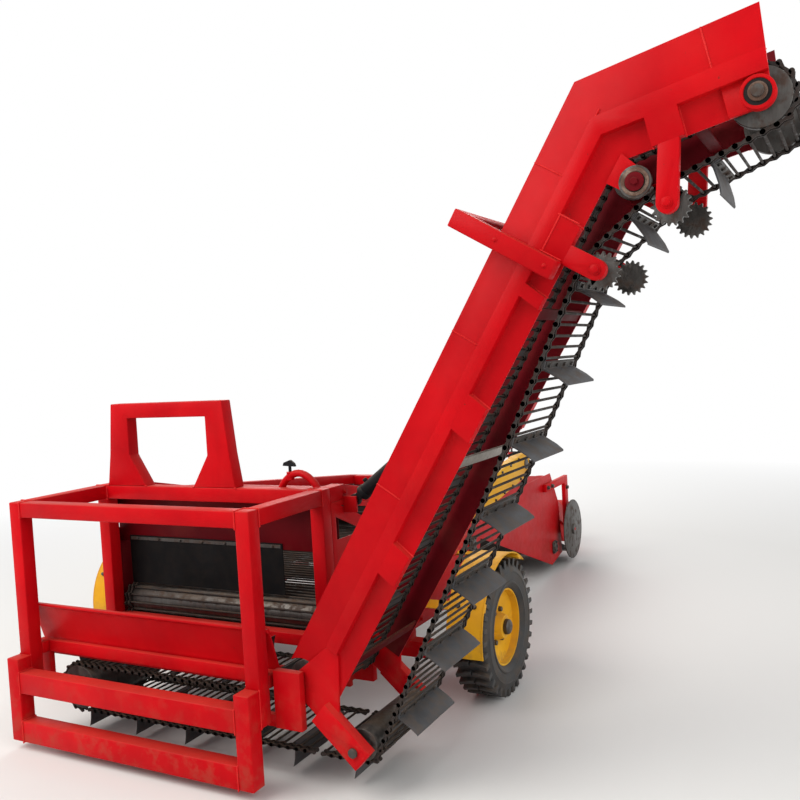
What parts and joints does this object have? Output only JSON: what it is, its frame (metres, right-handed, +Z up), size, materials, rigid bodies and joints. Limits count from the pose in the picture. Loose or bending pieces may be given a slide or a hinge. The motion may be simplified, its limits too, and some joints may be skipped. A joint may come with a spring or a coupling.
{
  "type": "towed potato harvester",
  "caption": "Towed potato harvester: share, rod webs, rear cage and a steep side elevator, on two wheels and a front jack.",
  "frame": {"origin": "centre of the drawbar eye's bore", "axes": "+X forward along the machine, +Y to its left, +Z up along the eye's bore"},
  "size_m": [6.0349, 4.3675, 2.9028],
  "materials": {
    "red_paint": "glossy red enamel, dusty",
    "dark_red_paint": "red enamel in shade, dulled by soil",
    "worn_steel": "bare steel, worn and lightly rusted",
    "black_rubber": "black rubber sheet",
    "web_rubber": "worn grey-black rubber belting and flights",
    "tyre": "dusty black tyre rubber",
    "yellow_paint": "yellow enamel, dusty",
    "steel": "machined steel",
    "black_paint": "black paint"
  },
  "bodies": {
    "chassis": {"cage_posts": "red_paint", "cage_cross_bars": "red_paint", "cage_side_bars": "red_paint", "guard_posts": "red_paint", "guard_rails": "red_paint", "arch": "red_paint", "slope_panel": "red_paint", "conveyor_sides": "red_paint", "cross_web": "web_rubber", "tail_roller": "worn_steel", "hold_down_discs": "worn_steel", "lift_bracket": "red_paint", "top_rails": "red_paint", "low_rails": "red_paint", "body_walls": "red_paint", "cross_beams": "red_paint", "curtain_bar": "red_paint", "curtain": "black_rubber", "separator_web": "web_rubber", "digging_web": "web_rubber", "web_rollers": "worn_steel", "share": "worn_steel", "axle_beam": "red_paint", "mudguards": "yellow_paint", "conveyor_mounts": "red_paint", "drawbar": "red_paint", "jack_sleeve": "red_paint", "gearbox": "worn_steel", "drive_shaft": "steel", "drive_case": "yellow_paint", "coulter_arms": "red_paint", "roller_arms": "red_paint"},
    "left_wheel": {"left_tyre": "tyre", "left_rim": "yellow_paint"},
    "right_wheel": {"right_tyre": "tyre", "right_rim": "yellow_paint"},
    "left_cutting_disc": {"left_coulter": "worn_steel"},
    "right_cutting_disc": {"right_coulter": "worn_steel"},
    "front_roller": {"depth_roller": "red_paint"},
    "jack": {"jack_leg": "steel"},
    "elevator": {"elevator_near_wall": "red_paint", "elevator_far_wall": "dark_red_paint", "elevator_ties": "red_paint", "middle_tie": "worn_steel", "elevator_web": "web_rubber", "elevator_rollers": "worn_steel", "head_bearings": "worn_steel", "foot_brackets": "red_paint", "elevator_hoop": "red_paint", "return_brackets": "red_paint", "return_sprockets": "worn_steel"},
    "cylinder_barrel": {"lift_barrel": "black_paint"},
    "cylinder_rod": {"lift_rod": "steel"}
  },
  "joints": [
    {"name": "left_wheel_spin", "type": "hinge", "parent": "chassis", "child": "left_wheel", "pos_m": [-4.475, 1.25, -0.135], "axis": [0, 1, 0], "continuous": true},
    {"name": "right_wheel_spin", "type": "hinge", "parent": "chassis", "child": "right_wheel", "pos_m": [-4.475, -1.25, -0.135], "axis": [0, 1, 0], "continuous": true},
    {"name": "left_disc_spin", "type": "hinge", "parent": "chassis", "child": "left_cutting_disc", "pos_m": [-1.57, 0.82, -0.2], "axis": [0, 1, 0], "continuous": true},
    {"name": "right_disc_spin", "type": "hinge", "parent": "chassis", "child": "right_cutting_disc", "pos_m": [-1.57, -0.82, -0.2], "axis": [0, 1, 0], "continuous": true},
    {"name": "front_roller_spin", "type": "hinge", "parent": "chassis", "child": "front_roller", "pos_m": [-1.04, 0, -0.24], "axis": [0, 1, 0], "continuous": true},
    {"name": "jack_slide", "type": "slide", "parent": "chassis", "child": "jack", "axis": [0, 0, 1], "range_m": [0, 0.28]},
    {"name": "elevator_lift", "type": "hinge", "parent": "chassis", "child": "elevator", "pos_m": [-5.5075, -0.885, -0.03], "axis": [-1, 0, 0], "range_deg": [0, 25]},
    {"name": "barrel_swing", "type": "hinge", "parent": "chassis", "child": "cylinder_barrel", "pos_m": [-5.106, -0.805, 0.65], "axis": [-1, 0, 0], "range_deg": [0, 39.31]},
    {"name": "rod_draw", "type": "slide", "parent": "cylinder_barrel", "child": "cylinder_rod", "axis": [0, 0.7999, -0.6001], "range_m": [0, 0.1966]}
  ],
  "couplings": [
    {"joint": "barrel_swing", "follows": "elevator_lift", "ratio": 1.5525},
    {"joint": "rod_draw", "follows": "elevator_lift", "m_per_rad": 0.44368}
  ]
}
